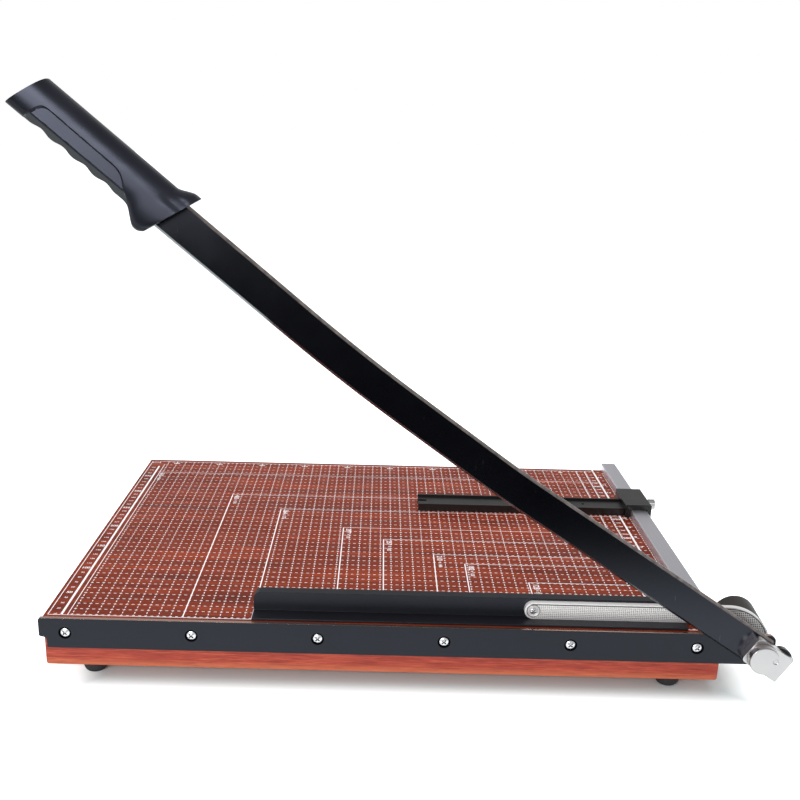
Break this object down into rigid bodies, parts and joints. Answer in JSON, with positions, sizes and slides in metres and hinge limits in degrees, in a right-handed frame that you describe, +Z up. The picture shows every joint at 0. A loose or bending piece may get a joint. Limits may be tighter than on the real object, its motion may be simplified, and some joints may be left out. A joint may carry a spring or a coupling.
{
  "type": "paper trimmer",
  "caption": "Board paper trimmer with a curved swinging knife arm, moulded handle, sprung press bar, edge ruler rail and sliding paper stop on a thick wooden base.",
  "frame": {"origin": "bottom of the rubber feet, under the middle of the whole outline with the arm as pictured", "axes": "+X along the cut towards the pivot, +Y from the cut across the table to the back, +Z up"},
  "size_m": [0.6084, 0.4318, 0.4657],
  "materials": {
    "board_wood": "varnished board with a printed top",
    "foot_rubber": "matt",
    "zinc_steel": "zinc plated",
    "plain_steel": "bare, oiled",
    "blade_paint": "black enamel, ground at the cutting edge",
    "press_paint": "black enamel on sheet steel",
    "rail_aluminium": "brushed",
    "stop_paint": "black anodised, satin",
    "bright_chrome": "bright plated",
    "dotted_chrome": "bright plated with a fine dotted face",
    "cover_black": "black sleeve",
    "handle_plastic": "moulded, fine grain"
  },
  "bodies": {
    "base": {"baseboard": "board_wood", "feet": "foot_rubber", "foot_screws": "zinc_steel", "fixed_blade": "blade_paint", "blade_screws": "zinc_steel", "ruler_rail": "rail_aluminium", "ruler_screws": "zinc_steel", "pivot_bolt": "plain_steel", "pivot_spacer": "plain_steel", "spring_arbor": "plain_steel", "spring_cover": "cover_black", "rear_washer": "zinc_steel", "pivot_nut": "zinc_steel"},
    "arm": {"knife_arm": "blade_paint", "handle": "handle_plastic", "pivot_block": "bright_chrome", "block_screws": "zinc_steel", "spring_washer": "plain_steel"},
    "press": {"press_bar": "press_paint", "press_lever": "dotted_chrome", "lever_screw": "zinc_steel", "lever_nut": "zinc_steel", "torsion_spring": "plain_steel"},
    "stop": {"stop_block": "stop_paint", "guide_bar": "stop_paint", "guide_screws": "zinc_steel"},
    "thumb": {"thumb_screw": "bright_chrome"}
  },
  "joints": [
    {"name": "arm_hinge", "type": "hinge", "parent": "base", "child": "arm", "pos_m": [0.27643, -0.1909, 0.0422], "axis": [0, 1, 0], "range_deg": [-34.2, 29.3]},
    {"name": "press_hinge", "type": "hinge", "parent": "base", "child": "press", "pos_m": [0.27643, -0.1731, 0.0422], "axis": [0, 1, 0], "range_deg": [0, 14], "stiffness_Nm_per_rad": 1.5, "springref_deg": -28.65},
    {"name": "stop_slide", "type": "slide", "parent": "base", "child": "stop", "axis": [0, 1, 0], "range_m": [-0.2, 0.098]},
    {"name": "thumb_turn", "type": "hinge", "parent": "stop", "child": "thumb", "pos_m": [0.25273, 0.0884, 0.061], "axis": [1, 0, 0], "range_deg": [0, 360]}
  ]
}
